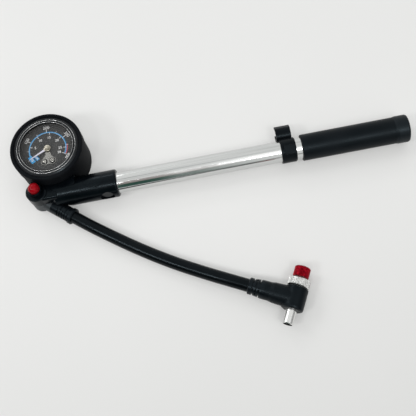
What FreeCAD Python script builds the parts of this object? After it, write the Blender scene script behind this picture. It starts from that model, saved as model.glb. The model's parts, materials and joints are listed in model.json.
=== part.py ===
"""Bicycle suspension pump: dial gauge head, telescoping barrel, swivelling hose and screw-on chuck.

Millimetres. The pump lies on a table at Z = 0, gauge face up. +X runs along the barrel from the
head to the handle, +Y is the gauge's side, and the origin is the centre of the object's base.
"""
import FreeCAD
import Part
import math
import os

from FreeCAD import Vector

# ---------------------------------------------------------------- driving dimensions
LENGTH = 351.0          # gauge guard to end of handle
WIDTH = 83.1            # hose arm to gauge guard's far side
GAUGE_OFFSET = 36.1     # barrel's axis to gauge's centre
BARREL_R = 9.5
BORE_R = 8.3
SOCKET_R = 12.5
GUARD_R = 32.8          # rubber guard's rim round the gauge
GAUGE_TOP = 38.6
HANDLE_R = 11.8
HOSE_R = 5.6
BUTTON_TRAVEL = 1.8
CLEARANCE = 0.3         # between bodies that move apart
RUNNING = 0.05          # radial clearance of a shaft in its bush

# ---------------------------------------------------------------- places worked out from them
AXIS_Z = SOCKET_R
GAUGE_X = -LENGTH / 2 + GUARD_R
GAUGE_Y = WIDTH / 2 - GUARD_R
AXIS_Y = GAUGE_Y - GAUGE_OFFSET
HANDLE_END = LENGTH / 2
SWIVEL_X = GAUGE_X - 15.4
SWIVEL_Y = AXIS_Y
SOCKET_END = -86.7
SOCKET_START = GAUGE_X - 4.0
BARREL_START = -110.0
BARREL_END = 160.0
COLLAR_START = 61.1
COLLAR_END = 74.6
MOUTH = 79.8
FLARE = 163.0

# head heights, from the table up
BANJO_TOP = 15.0
HEAD_UNDERSIDE = 15.4
PASSAGE_Z = 20.5
PASSAGE_R = 1.5
SEAT_Z = 22.0
SHELF_Z = 23.5
BOSS_TOP = 26.0
BOSS_R = 9.6
BUTTON_R = 4.9
BUTTON_TOP = 37.0
BLEED_COLLAR_R = 6.1
BLEED_COLLAR_TOP = 31.2

# gauge heights
CASE_R = 29.2
CASE_FLOOR = 2.8
CASE_TOP = 33.5
DIAL_TOP = 32.4
LENS_BOTTOM = 36.0
LENS_TOP = 37.2
DIAL_SCREW_X = 3.6       # dial screws, each side of the gauge's centre
DIAL_SCREW_Y = -12.4

# gauge movement: pinion on the pointer's spindle, driven by a toothed sector
MODULE = 0.35
PINION_TEETH = 10
SECTOR_TEETH = 70       # on the full circle that the sector is cut from
SECTOR_SWEEP = 33.3     # degrees from zero to full scale
POINTER_ZERO = 206.0    # degrees anticlockwise from +X
PINION_PITCH_R = MODULE * PINION_TEETH / 2
SECTOR_PITCH_R = MODULE * SECTOR_TEETH / 2
PIVOT_Y = GAUGE_Y - PINION_PITCH_R - SECTOR_PITCH_R
GEAR_Z = 24.2
GEAR_THICK = 1.5

# hose side
HOSE_ANGLE = -40.1      # degrees, from the swivel
BANJO_R = 9.3
BANJO_Z = 7.8
BOOT_R = 7.5
BOOT_FROM = 13.85       # distance from the swivel's axis
BOOT_TO = 36.0
SWIVEL_RANGE = 150.0
CHUCK = Vector(45.63, -160.08, 9.6)
NECK_ANGLE = -27.0      # direction of the hose where it enters the chuck
CHUCK_R = 9.5
THREAD_R = 3.85
SEAL_R = 3.6
SLEEVE_R = 4.7
NECK_BOOT_FROM = 25.5
NECK_BOOT_TO = 39.4

# centreline of the hose, from inside the head boot to inside the chuck boot
HOSE_ROUTE = [
    (-139.74, -42.81, 7.8),
    (-121.38, -58.27, 7.8),
    (-101.5, -73.3, 6.85),
    (-78.5, -89.95, 5.95),
    (-52.42, -107.16, 5.85),
    (-27.0, -121.95, 7.1),
    (-1.59, -136.02, 9.6),
    (21.57, -147.82, 9.6),
]

X_AXIS = Vector(1, 0, 0)
Y_AXIS = Vector(0, 1, 0)
Z_AXIS = Vector(0, 0, 1)
ORIGIN = Vector(0, 0, 0)


# ---------------------------------------------------------------- helpers
def save(shape, node):
    """Write one node's STEP file."""
    shape = shape.removeSplitter()
    shape.exportStep("parts/" + node + ".step")


def frame_at(origin, along, across):
    """Placement that takes local Z to along and local X towards across."""
    rotation = FreeCAD.Rotation(across, along.cross(across), along, "ZXY")
    return FreeCAD.Placement(origin, rotation)


def lathe(outline, placement=None):
    """Solid of revolution about local Z. outline is a closed loop of (radius, height) corners."""
    points = [Vector(r, 0, z) for r, z in outline]
    face = Part.Face(Part.makePolygon(points + points[:1]))
    solid = face.revolve(ORIGIN, Z_AXIS, 360)
    if placement:
        solid.Placement = placement
    return solid


def rod(radius, low, high, placement=None):
    """Cylinder about local Z from low to high."""
    solid = Part.makeCylinder(radius, high - low, Vector(0, 0, low))
    if placement:
        solid.Placement = placement.multiply(solid.Placement)
    return solid


def ring(outer, inner, low, high, placement=None):
    """Plain ring about local Z."""
    return lathe([(inner, low), (outer, low), (outer, high), (inner, high)], placement)


def prism(points, low, high):
    """Upright prism on a closed loop of (x, y) corners."""
    corners = [Vector(x, y, low) for x, y in points]
    face = Part.Face(Part.makePolygon(corners + corners[:1]))
    return face.extrude(Vector(0, 0, high - low))


def polar(radius, degrees):
    """Point at an angle in the local XY plane."""
    return Vector(radius * math.cos(math.radians(degrees)), radius * math.sin(math.radians(degrees)), 0)


def hexagon(radius):
    """Six (x, y) corners round local Z."""
    return [(polar(radius, 60 * k).x, polar(radius, 60 * k).y) for k in range(6)]


def knurled(radius, depth, ridges, low, high, chamfer):
    """Knob with straight ridges and chamfered ends, about local Z."""
    points = []
    for k in range(ridges):
        for share, r in ((0.0, radius - depth), (0.28, radius), (0.72, radius)):
            spot = polar(r, 360 * (k + share) / ridges)
            points.append((spot.x, spot.y))
    body = prism(points, low, high)
    envelope = lathe([
        (0, low),
        (radius - chamfer, low),
        (radius + 1, low + chamfer + 1),
        (radius + 1, high - chamfer - 1),
        (radius - chamfer, high),
        (0, high),
    ])
    return body.common(envelope)


def gear_points(centre, pitch_r, teeth, first, count, phase):
    """Corners of a run of teeth round a centre. phase is the angle of tooth number 0, in degrees."""
    step = 360.0 / teeth
    points = []
    for k in range(first, first + count):
        middle = phase + k * step
        for side, r in ((-0.34, pitch_r - 1.2 * MODULE), (-0.13, pitch_r + 0.8 * MODULE),
                        (0.13, pitch_r + 0.8 * MODULE), (0.34, pitch_r - 1.2 * MODULE)):
            spot = centre + polar(r, middle + side * step)
            points.append((spot.x, spot.y))
    return points


BARREL_LINE = frame_at(Vector(0, AXIS_Y, AXIS_Z), X_AXIS, Vector(0, 0, -1))
GAUGE_LINE = FreeCAD.Placement(Vector(GAUGE_X, GAUGE_Y, 0), FreeCAD.Rotation())
SWIVEL_LINE = FreeCAD.Placement(Vector(SWIVEL_X, SWIVEL_Y, 0), FreeCAD.Rotation())


def hose_frame(degrees):
    """Local Z leaves the swivel's axis at an angle, at the hose's height."""
    return frame_at(Vector(SWIVEL_X, SWIVEL_Y, BANJO_Z), polar(1, degrees), Z_AXIS)


HOSE_LINE = hose_frame(HOSE_ANGLE)
NECK_DIRECTION = polar(-1, NECK_ANGLE)
CHUCK_DIRECTION = polar(1, NECK_ANGLE + 90)
NECK_LINE = frame_at(CHUCK, NECK_DIRECTION, Z_AXIS)
CHUCK_LINE = frame_at(CHUCK, CHUCK_DIRECTION, Z_AXIS)


# ---------------------------------------------------------------- head
def hose_sweep():
    """Space that the hose boot turns through, cut out of the head."""
    reach = BOOT_TO + 4
    space = Part.makeCylinder(reach, HEAD_UNDERSIDE + 1, ORIGIN, Z_AXIS, SWIVEL_RANGE)
    turn = FreeCAD.Rotation(Z_AXIS, HOSE_ANGLE - SWIVEL_RANGE)
    space.Placement = FreeCAD.Placement(Vector(SWIVEL_X, SWIVEL_Y, -1), turn)
    for extra in (0, 3):
        space = space.fuse(rod(BOOT_R + 0.6, 0, reach, hose_frame(HOSE_ANGLE + extra)))
    return space


def head_outline():
    """Head without its bores: barrel socket, boss under the button, and the gauge's neck."""
    socket = lathe([
        (0, SOCKET_START),
        (SOCKET_R - 3.5, SOCKET_START),
        (SOCKET_R, SOCKET_START + 3.5),
        (SOCKET_R, SOCKET_END),
        (0, SOCKET_END),
    ])
    socket = socket.makeFillet(1.9, [e for e in socket.Edges if is_round_edge(e, SOCKET_END)])
    socket.Placement = BARREL_LINE
    boss = lathe([
        (0, HEAD_UNDERSIDE),
        (BOSS_R, HEAD_UNDERSIDE),
        (BOSS_R, BOSS_TOP),
        (0, BOSS_TOP),
    ])
    boss = boss.makeFillet(1.0, [e for e in boss.Edges if is_round_edge(e, BOSS_TOP)])
    boss.Placement = SWIVEL_LINE
    bridge = Part.makeBox(SOCKET_START + 6 - SWIVEL_X, 2 * BOSS_R - 1.6, BOSS_TOP - 1.2 - HEAD_UNDERSIDE,
                          Vector(SWIVEL_X, SWIVEL_Y - BOSS_R + 0.8, HEAD_UNDERSIDE))
    bridge = bridge.makeFillet(2.5, [e for e in bridge.Edges if is_long_top_edge(e, BOSS_TOP - 1.2)])
    neck = Part.makeBox(39, GAUGE_Y - AXIS_Y - 6, BOSS_TOP - 1.2, Vector(GAUGE_X - 19.5, AXIS_Y, 0.8))
    neck = neck.makeFillet(3.0, [e for e in neck.Edges if is_upright(e)])
    return socket.fuse([boss, bridge, neck])


def is_long_top_edge(edge, height):
    """True for an edge along X at a height."""
    box = edge.BoundBox
    return box.XLength > 1 and box.YLength < 0.01 and abs(box.ZMin - height) < 0.01 and box.ZLength < 0.01


def is_round_edge(edge, height):
    """True for a full circle at a height."""
    box = edge.BoundBox
    return box.XLength > 1 and box.YLength > 1 and abs(box.ZMin - height) < 0.01 and box.ZLength < 0.01


def is_upright(edge):
    """True for an edge along Z."""
    box = edge.BoundBox
    return box.ZLength > 1 and box.XLength < 0.01 and box.YLength < 0.01


def head_body():
    """Moulded head with its bores, the gauge's recess and the hose's space."""
    gauge_recess = rod(CASE_R + 0.2, 0, GAUGE_TOP, GAUGE_LINE)
    banjo_space = rod(BANJO_R + 0.6, -1, HEAD_UNDERSIDE, SWIVEL_LINE)
    barrel_bore = rod(BARREL_R, BARREL_START, SOCKET_END + 1, BARREL_LINE)
    valve_chamber = rod(8.5, BARREL_START - 6, BARREL_START + 1, BARREL_LINE)
    valve_well = rod(4.0, BARREL_START - 14, BARREL_START, BARREL_LINE)
    passage = Part.makeCylinder(PASSAGE_R, BARREL_START - 3 - SWIVEL_X,
                                Vector(SWIVEL_X, AXIS_Y, PASSAGE_Z), X_AXIS)
    stem_port = Part.makeCylinder(PASSAGE_R, GAUGE_Y - AXIS_Y, Vector(GAUGE_X, AXIS_Y, PASSAGE_Z), Y_AXIS)
    stem_bore = Part.makeCylinder(4.0, 15, Vector(GAUGE_X, GAUGE_Y - CASE_R - 7.7, PASSAGE_Z), Y_AXIS)
    post_bore = rod(4.0, HEAD_UNDERSIDE - 1, PASSAGE_Z - 2.1, SWIVEL_LINE)
    pin_chamber = rod(3.0, PASSAGE_Z - 2.1, SEAT_Z, SWIVEL_LINE)
    pin_bore = rod(1.9, SEAT_Z, SHELF_Z, SWIVEL_LINE)
    spring_well = rod(BUTTON_R + 0.4, SHELF_Z, BOSS_TOP + 1, SWIVEL_LINE)
    cuts = [gauge_recess, banjo_space, hose_sweep(), barrel_bore, valve_chamber, valve_well, passage,
            stem_port, stem_bore, post_bore, pin_chamber, pin_bore, spring_well]
    body = head_outline()
    for cut in cuts:
        body = body.cut(cut)
    notch_floor = Vector(SOCKET_END - 10.6, AXIS_Y - SOCKET_R + 2.2, AXIS_Z + 0.6)
    thumb_notch = Part.makeCylinder(6.3, 10, notch_floor, -Y_AXIS)
    return body.cut(thumb_notch).cut(oval_groove())


def oval_groove():
    """Shallow oval line moulded in the top of the socket."""
    centre = Vector(SOCKET_END - 20.2, AXIS_Y, AXIS_Z)
    height = SOCKET_R + 1
    ovals = []
    for long_r, short_r in ((9.4, 5.6), (8.9, 5.1)):
        oval = Part.Face(Part.Wire(Part.Ellipse(centre, long_r, short_r).toShape()))
        ovals.append(oval.extrude(Vector(0, 0, height)))
    skin = rod(SOCKET_R - 0.3, SOCKET_START, SOCKET_END, BARREL_LINE)
    return ovals[0].cut(ovals[1]).cut(skin)


def bleed_parts():
    """Collar, sprung button, pin and seals of the air release under the red dome."""
    save(lathe([
        (BUTTON_R + CLEARANCE, BOSS_TOP),
        (BLEED_COLLAR_R, BOSS_TOP),
        (BLEED_COLLAR_R, BLEED_COLLAR_TOP - 0.5),
        (BLEED_COLLAR_R - 0.4, BLEED_COLLAR_TOP),
        (BUTTON_R + CLEARANCE, BLEED_COLLAR_TOP),
    ], SWIVEL_LINE), "bleed_collar")
    skirt_bottom = SHELF_Z + BUTTON_TRAVEL + CLEARANCE
    shoulder = BUTTON_TOP - 3.4
    dome = rod(BUTTON_R, skirt_bottom, shoulder, SWIVEL_LINE)
    ball_r = (BUTTON_R ** 2 + 3.4 ** 2) / (2 * 3.4)
    crown = Part.makeSphere(ball_r, Vector(SWIVEL_X, SWIVEL_Y, BUTTON_TOP - ball_r))
    crown = crown.common(rod(BUTTON_R, shoulder, BUTTON_TOP + 1, SWIVEL_LINE))
    well = rod(4.1, skirt_bottom - 1, shoulder, SWIVEL_LINE)
    hub = rod(2.3, shoulder - 2.2, shoulder, SWIVEL_LINE)
    button = dome.fuse(crown).cut(well).fuse(hub).cut(rod(1.4, shoulder - 3, shoulder - 0.2, SWIVEL_LINE))
    save(button, "bleed_button")
    pin_bottom = SEAT_Z - 1.7
    save(lathe([
        (0, pin_bottom),
        (2.4, pin_bottom),
        (2.4, SEAT_Z - 0.9),
        (1.4, SEAT_Z - 0.9),
        (1.4, shoulder - 0.2),
        (0, shoulder - 0.2),
    ], SWIVEL_LINE), "bleed_pin")
    save(ring(2.4, 1.4, SEAT_Z - 0.9, SEAT_Z, SWIVEL_LINE), "bleed_seal")
    turns = 4
    top = shoulder
    wire_r = 0.35
    pitch = (top - SHELF_Z - 2 * wire_r) / turns
    helix = Part.makeHelix(pitch, pitch * turns, 3.3)
    section = Part.Wire(Part.makeCircle(wire_r, Vector(3.3, 0, 0), Vector(0, 1, pitch / 20.7)))
    coil = Part.Wire(helix.Edges).makePipeShell([section], True, True)
    coil.translate(Vector(SWIVEL_X, SWIVEL_Y, SHELF_Z + wire_r))
    save(coil, "bleed_spring")


def valve_parts():
    """Check valve between the barrel and the air passage, and the barrel's seal."""
    save(ring(BARREL_R - 1.2, 1.6, BARREL_START + 0.2, BARREL_START + 3.2, BARREL_LINE), "check_valve_seat")
    save(Part.makeSphere(2.0, Vector(BARREL_START - 1.35, AXIS_Y, AXIS_Z)), "check_valve_ball")
    helix = Part.makeHelix(2.2, 8.8, 3.0)
    section = Part.Wire(Part.makeCircle(0.4, Vector(3.0, 0, 0), Vector(0, 1, 0.117)))
    coil = Part.Wire(helix.Edges).makePipeShell([section], True, True)
    coil.Placement = BARREL_LINE
    coil.translate(Vector(BARREL_START - 13.5, 0, 0))
    save(coil, "check_valve_spring")
    save(ring(8.4, 6.6, BARREL_START - 1.8, BARREL_START, BARREL_LINE), "barrel_seal")


# ---------------------------------------------------------------- barrel and clip
def barrel_parts():
    """Tube and the bush in its end that guides the rod."""
    save(ring(BARREL_R, BORE_R, BARREL_START, BARREL_END, BARREL_LINE), "barrel")
    rod_bore = 4.0 + RUNNING
    save(lathe([
        (rod_bore, BARREL_END - 10),
        (BORE_R, BARREL_END - 10),
        (BORE_R, BARREL_END),
        (BARREL_R, BARREL_END),
        (BARREL_R, BARREL_END + 1.6),
        (BARREL_R - 0.8, BARREL_END + 2.4),
        (rod_bore, BARREL_END + 2.4),
    ], BARREL_LINE), "rod_guide_bush")
    save(ring(BORE_R, 4.0 + RUNNING, BARREL_END - 12, BARREL_END - 10.2, BARREL_LINE), "rod_wiper")


CLIP_INNER_R = 5.65
CLIP_OUTER_R = 7.5
CLIP_Y = AXIS_Y + 16.2
MOUTH_FROM = -66        # degrees, lower edge of the clip's mouth
MOUTH_TO = 12           # upper edge
COLLAR_R = 10.95


def clip_collar():
    """Ring round the barrel with a latch pad and a spring clip for the parked hose."""
    band = lathe([
        (BARREL_R + RUNNING, COLLAR_START),
        (COLLAR_R, COLLAR_START),
        (COLLAR_R, COLLAR_END - 0.8),
        (COLLAR_R - 0.8, COLLAR_END),
        (BARREL_R + RUNNING, COLLAR_END),
    ], BARREL_LINE)
    clip_from = COLLAR_START - 1.6
    clip_long = COLLAR_END - 1.5 - clip_from
    jaws = Part.makeCylinder(CLIP_OUTER_R, clip_long, Vector(clip_from, CLIP_Y, AXIS_Z), X_AXIS)
    web = Part.makeBox(COLLAR_END - 1.5 - COLLAR_START, 8, 9, Vector(COLLAR_START, AXIS_Y + 6, AXIS_Z - 4.5))
    mouth = prism_along_x([
        (CLIP_Y, AXIS_Z),
        clip_point(16, MOUTH_FROM),
        clip_point(20, (MOUTH_FROM + MOUTH_TO) / 2),
        clip_point(16, MOUTH_TO),
    ], clip_from - 1, clip_from + clip_long + 1)
    hollow = Part.makeCylinder(CLIP_INNER_R, clip_long + 2, Vector(clip_from - 1, CLIP_Y, AXIS_Z), X_AXIS)
    barrel_space = rod(BARREL_R + RUNNING, COLLAR_START - 5, COLLAR_END + 5, BARREL_LINE)
    body = band.fuse([jaws, web]).cut(mouth).cut(hollow).cut(barrel_space)
    for degrees in (MOUTH_FROM - 5, MOUTH_TO + 8):
        y, z = clip_point((CLIP_INNER_R + CLIP_OUTER_R) / 2 + 0.5, degrees)
        body = body.fuse(Part.makeCylinder(1.15, clip_long, Vector(clip_from, y, z), X_AXIS))
    pad = Part.makeBox(COLLAR_END - COLLAR_START - 3, 8, 2.4, Vector(COLLAR_START + 2.4, -4, COLLAR_R - 1.2))
    pad = pad.makeFillet(0.6, pad.Edges)
    pad.Placement = FreeCAD.Placement(Vector(0, AXIS_Y, AXIS_Z), FreeCAD.Rotation(X_AXIS, 22))
    return body.fuse(pad.cut(barrel_space))


def clip_point(radius, degrees):
    """(y, z) of a point round the hose clip. 0 degrees is straight out, away from the barrel."""
    angle = math.radians(degrees)
    return CLIP_Y + radius * math.cos(angle), AXIS_Z + radius * math.sin(angle)


def prism_along_x(points, low, high):
    """Prism along X on a closed loop of (y, z) corners."""
    corners = [Vector(low, y, z) for y, z in points]
    face = Part.Face(Part.makePolygon(corners + corners[:1]))
    return face.extrude(Vector(high - low, 0, 0))


# ---------------------------------------------------------------- handle and piston
def plunger_parts():
    """Everything that moves with the handle."""
    cap_inner = HANDLE_END - 9.5
    piston_at = BARREL_START + 8
    save(rod(4.0, piston_at - 2, cap_inner, BARREL_LINE), "piston_rod")
    save(lathe([
        (4.0, piston_at + 1),
        (8.2, piston_at + 1),
        (8.2, piston_at + 3.6),
        (6.9, piston_at + 3.6),
        (6.9, piston_at + 6.4),
        (8.2, piston_at + 6.4),
        (8.2, piston_at + 10),
        (4.0, piston_at + 10),
    ], BARREL_LINE), "piston")
    save(ring(BORE_R - RUNNING, 6.9, piston_at + 3.7, piston_at + 6.3, BARREL_LINE), "piston_ring")
    nut = prism(hexagon(5.2), piston_at - 2, piston_at + 1)
    nut = nut.cut(rod(4.0, piston_at - 3, piston_at + 2))
    nut.Placement = BARREL_LINE
    save(nut, "piston_nut")
    save(lathe([
        (4.0, piston_at + 10),
        (7.2, piston_at + 10),
        (6.4, piston_at + 15),
        (4.0, piston_at + 15),
    ], BARREL_LINE), "bump_stop")
    sleeve_r = HANDLE_R - 0.9
    save(ring(sleeve_r, sleeve_r - 0.8, MOUTH + 0.6, cap_inner, BARREL_LINE), "handle_tube")
    save(lathe([
        (sleeve_r - 0.6, MOUTH),
        (HANDLE_R - 0.5, MOUTH),
        (HANDLE_R, MOUTH + 0.5),
        (HANDLE_R, FLARE),
        (sleeve_r, FLARE),
        (sleeve_r, MOUTH + 0.6),
        (sleeve_r - 0.6, MOUTH + 0.6),
    ], BARREL_LINE), "handle_grip")
    flare_r = HANDLE_R + 0.5
    cap = lathe([
        (0, cap_inner),
        (sleeve_r, cap_inner),
        (sleeve_r, FLARE),
        (HANDLE_R, FLARE),
        (flare_r, FLARE + 2.5),
        (flare_r, HANDLE_END - 1.6),
        (flare_r - 0.5, HANDLE_END - 0.5),
        (flare_r - 1.6, HANDLE_END),
        (0, HANDLE_END),
    ], BARREL_LINE)
    screw_head = rod(4.0, HANDLE_END - 3, HANDLE_END + 1, BARREL_LINE)
    screw_shank = rod(2.0, cap_inner - 1, HANDLE_END - 2, BARREL_LINE)
    save(cap.cut(screw_head).cut(screw_shank), "handle_cap")
    socket = prism(hexagon(1.7), HANDLE_END - 2.2, HANDLE_END)
    socket.Placement = BARREL_LINE
    screw = rod(3.9, HANDLE_END - 3, HANDLE_END - 0.6, BARREL_LINE)
    screw = screw.fuse(rod(2.0, cap_inner, HANDLE_END - 3, BARREL_LINE))
    save(screw.cut(socket), "cap_screw")


# ---------------------------------------------------------------- gauge
def gauge_shell():
    """Case, rubber guard, bezel, lens and gasket."""
    case = lathe([
        (0, CASE_FLOOR),
        (CASE_R - 1, CASE_FLOOR),
        (CASE_R, CASE_FLOOR + 1),
        (CASE_R, CASE_TOP),
        (CASE_R - 1.2, CASE_TOP),
        (CASE_R - 1.2, CASE_FLOOR + 1.4),
        (0, CASE_FLOOR + 1.4),
    ], GAUGE_LINE)
    stem_hole = Part.makeCylinder(4.0, 12, Vector(GAUGE_X, GAUGE_Y - CASE_R - 4, PASSAGE_Z), Y_AXIS)
    save(case.cut(stem_hole), "gauge_case")
    inner_r = CASE_R + 0.05
    side_r = GUARD_R - 0.6
    guard = lathe([
        (0, 0.0),
        (side_r - 1.2, 0.0),
        (side_r, 1.2),
        (side_r, GAUGE_TOP - 12.5),
        (GUARD_R, GAUGE_TOP - 11.9),
        (GUARD_R, GAUGE_TOP - 1.6),
        (GUARD_R - 0.5, GAUGE_TOP - 0.5),
        (GUARD_R - 1.6, GAUGE_TOP),
        (inner_r + 0.9, GAUGE_TOP),
        (inner_r, GAUGE_TOP - 1.0),
        (inner_r, CASE_FLOOR + 1),
        (inner_r - 1, CASE_FLOOR),
        (0, CASE_FLOOR),
    ], GAUGE_LINE)
    guard = guard.cut(guard_gap())
    save(guard, "gauge_guard")
    save(lathe([
        (26.2, CASE_TOP),
        (CASE_R, CASE_TOP),
        (CASE_R, GAUGE_TOP - 1.4),
        (27.9, GAUGE_TOP - 0.4),
        (27.3, GAUGE_TOP - 0.4),
        (26.9, GAUGE_TOP - 1.0),
        (25.4, GAUGE_TOP - 1.0),
        (24.9, GAUGE_TOP - 0.6),
        (24.6, GAUGE_TOP - 0.9),
        (24.6, LENS_TOP),
        (27.0, LENS_TOP),
        (27.0, LENS_BOTTOM - 0.5),
        (26.2, LENS_BOTTOM - 0.5),
    ], GAUGE_LINE), "gauge_bezel")
    save(rod(26.95, LENS_BOTTOM, LENS_TOP, GAUGE_LINE), "gauge_lens")
    save(ring(26.95, 25.4, LENS_BOTTOM - 0.5, LENS_BOTTOM, GAUGE_LINE), "lens_gasket")


def guard_gap():
    """Space for the head's neck, the socket and the swivel in the guard's side."""
    neck = Part.makeBox(39.8, 40, 26.8, Vector(GAUGE_X - 19.9, AXIS_Y - 10, -0.2))
    socket = rod(SOCKET_R + 0.2, SOCKET_START - 1, SOCKET_END + 1, BARREL_LINE)
    swivel = rod(BOSS_R + 0.7, -1, BOSS_TOP + 0.6, SWIVEL_LINE)
    keep_floor = rod(CASE_R - 2.5, -1, CASE_FLOOR + 3, GAUGE_LINE)
    return neck.cut(keep_floor).fuse([socket, swivel])


def bell_plate():
    """Bright plate on the dial: an eye round the spindle, widening to two lobes at its screws."""
    low = DIAL_TOP
    plate = prism([
        (-2.1, 0),
        (-2.3, -4.0),
        (-3.2, -7.0),
        (-5.9, -10.0),
        (-DIAL_SCREW_X, -15.3),
        (DIAL_SCREW_X, -15.3),
        (5.9, -10.0),
        (3.2, -7.0),
        (2.3, -4.0),
        (2.1, 0),
    ], low, low + 0.5)
    discs = [Part.makeCylinder(2.7, 0.5, Vector(0, 0, low))]
    for x in (-DIAL_SCREW_X, DIAL_SCREW_X):
        discs.append(Part.makeCylinder(3.4, 0.5, Vector(x, DIAL_SCREW_Y, low)))
    plate = plate.fuse(discs).removeSplitter()
    top_edges = [e for e in plate.Edges if e.BoundBox.ZMin > low + 0.49]
    plate = plate.makeChamfer(0.2, top_edges)
    plate = plate.cut(Part.makeCylinder(1.6, 3, Vector(0, 0, low - 1)))
    plate.Placement = GAUGE_LINE
    return plate


def gauge_dial_parts():
    """Dial, the bright plate that its screws hold, and the stop pin."""
    dial = rod(26.0, DIAL_TOP - 0.6, DIAL_TOP, GAUGE_LINE).cut(rod(1.6, 0, 50, GAUGE_LINE))
    plate = bell_plate()
    heads = []
    washers = []
    for x in (-DIAL_SCREW_X, DIAL_SCREW_X):
        spot = Vector(GAUGE_X + x, GAUGE_Y + DIAL_SCREW_Y, DIAL_TOP)
        shank_hole = Part.makeCylinder(0.9, 6, spot - Vector(0, 0, 3))
        dial = dial.cut(shank_hole)
        plate = plate.cut(shank_hole)
        washers.append(Part.makeCylinder(2.7, 0.25, spot + Vector(0, 0, 0.5)).cut(shank_hole))
        head = Part.makeCylinder(2.0, 0.9, spot + Vector(0, 0, 0.75))
        head = head.makeFillet(0.4, [e for e in head.Edges if is_round_edge(e, DIAL_TOP + 1.65)])
        shank = Part.makeCylinder(0.9, 3.75, spot - Vector(0, 0, 3))
        slot = Part.makeBox(5, 0.6, 0.5, spot + Vector(-2.5, -0.3, 1.25))
        heads.append(head.fuse(shank).cut(slot))
    stop_spot = Vector(GAUGE_X, GAUGE_Y, 0) + polar(9.0, POINTER_ZERO + 8)
    stop_hole = Part.makeCylinder(0.5, 3, Vector(stop_spot.x, stop_spot.y, DIAL_TOP - 1.5))
    save(dial.cut(stop_hole), "gauge_dial")
    save(plate, "dial_plate")
    save(Part.makeCompound(washers), "dial_washers")
    save(Part.makeCompound(heads), "dial_screws")
    save(Part.makeCylinder(0.5, 2.6, Vector(stop_spot.x, stop_spot.y, DIAL_TOP - 0.6)), "pointer_stop_pin")


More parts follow.
